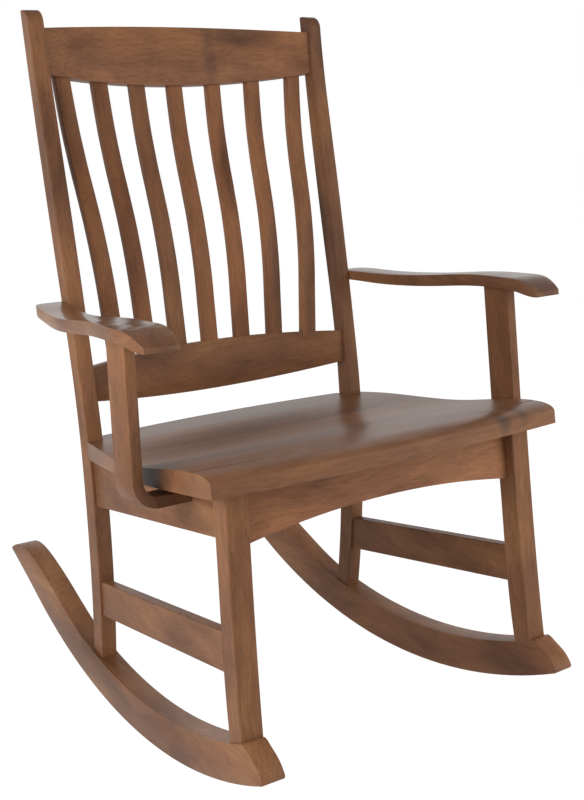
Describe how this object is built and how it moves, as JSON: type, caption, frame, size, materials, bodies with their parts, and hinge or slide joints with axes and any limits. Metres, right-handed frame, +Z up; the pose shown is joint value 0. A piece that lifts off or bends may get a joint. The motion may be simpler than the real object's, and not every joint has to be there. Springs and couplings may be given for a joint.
{
  "type": "rocking chair",
  "caption": "Wooden rocking chair with a tall slatted back, shaped arms on bent posts, a scooped seat and long curved rockers.",
  "frame": {"origin": "on the floor under the centre of the object's bounding box", "axes": "+Z up; +Y to the rear of the chair, behind the sitter; +X to the sitter's left"},
  "size_m": [0.7402, 0.85, 1.0756],
  "materials": {
    "rocker_wood": "satin oiled, medium brown stain, fine straight grain",
    "leg_wood": "satin oiled, medium brown stain, fine straight grain",
    "post_wood": "satin oiled, medium brown stain, fine straight grain",
    "rail_wood": "satin oiled, medium brown stain, fine straight grain",
    "arm_wood": "satin oiled, medium brown stain, fine straight grain",
    "seat_wood": "satin oiled, medium brown stain, fine straight grain",
    "back_wood": "satin oiled, medium brown stain, fine straight grain",
    "slat_wood": "satin oiled, medium brown stain, fine straight grain",
    "hidden_wood": "lightly stained, dull",
    "dowel_wood": "bare, unstained",
    "screw_steel": "zinc-plated, dull"
  },
  "bodies": {
    "root": {"rocker_left": "rocker_wood", "front_leg_left": "leg_wood", "rear_post_left": "post_wood", "side_stretcher_left": "rail_wood", "side_apron_left": "rail_wood", "arm_left": "arm_wood", "arm_post_left": "arm_wood", "corner_block_front_left": "hidden_wood", "corner_block_rear_left": "hidden_wood", "rocker_right": "rocker_wood", "front_leg_right": "leg_wood", "rear_post_right": "post_wood", "side_stretcher_right": "rail_wood", "side_apron_right": "rail_wood", "arm_right": "arm_wood", "arm_post_right": "arm_wood", "corner_block_front_right": "hidden_wood", "corner_block_rear_right": "hidden_wood", "front_apron": "rail_wood", "rear_apron": "rail_wood", "seat_board_1": "seat_wood", "seat_board_2": "seat_wood", "seat_board_3": "seat_wood", "seat_board_4": "seat_wood", "seat_board_5": "seat_wood", "crest_rail": "back_wood", "lower_back_rail": "back_wood", "back_slat_1": "slat_wood", "back_slat_2": "slat_wood", "back_slat_3": "slat_wood", "back_slat_4": "slat_wood", "back_slat_5": "slat_wood", "back_slat_6": "slat_wood", "back_slat_7": "slat_wood", "rocker_dowels": "dowel_wood", "arm_dowels": "dowel_wood", "rocker_plugs": "dowel_wood", "rocker_screws": "screw_steel", "arm_post_screws": "screw_steel", "corner_block_screws": "screw_steel", "seat_screws": "screw_steel"}
  },
  "joints": []
}
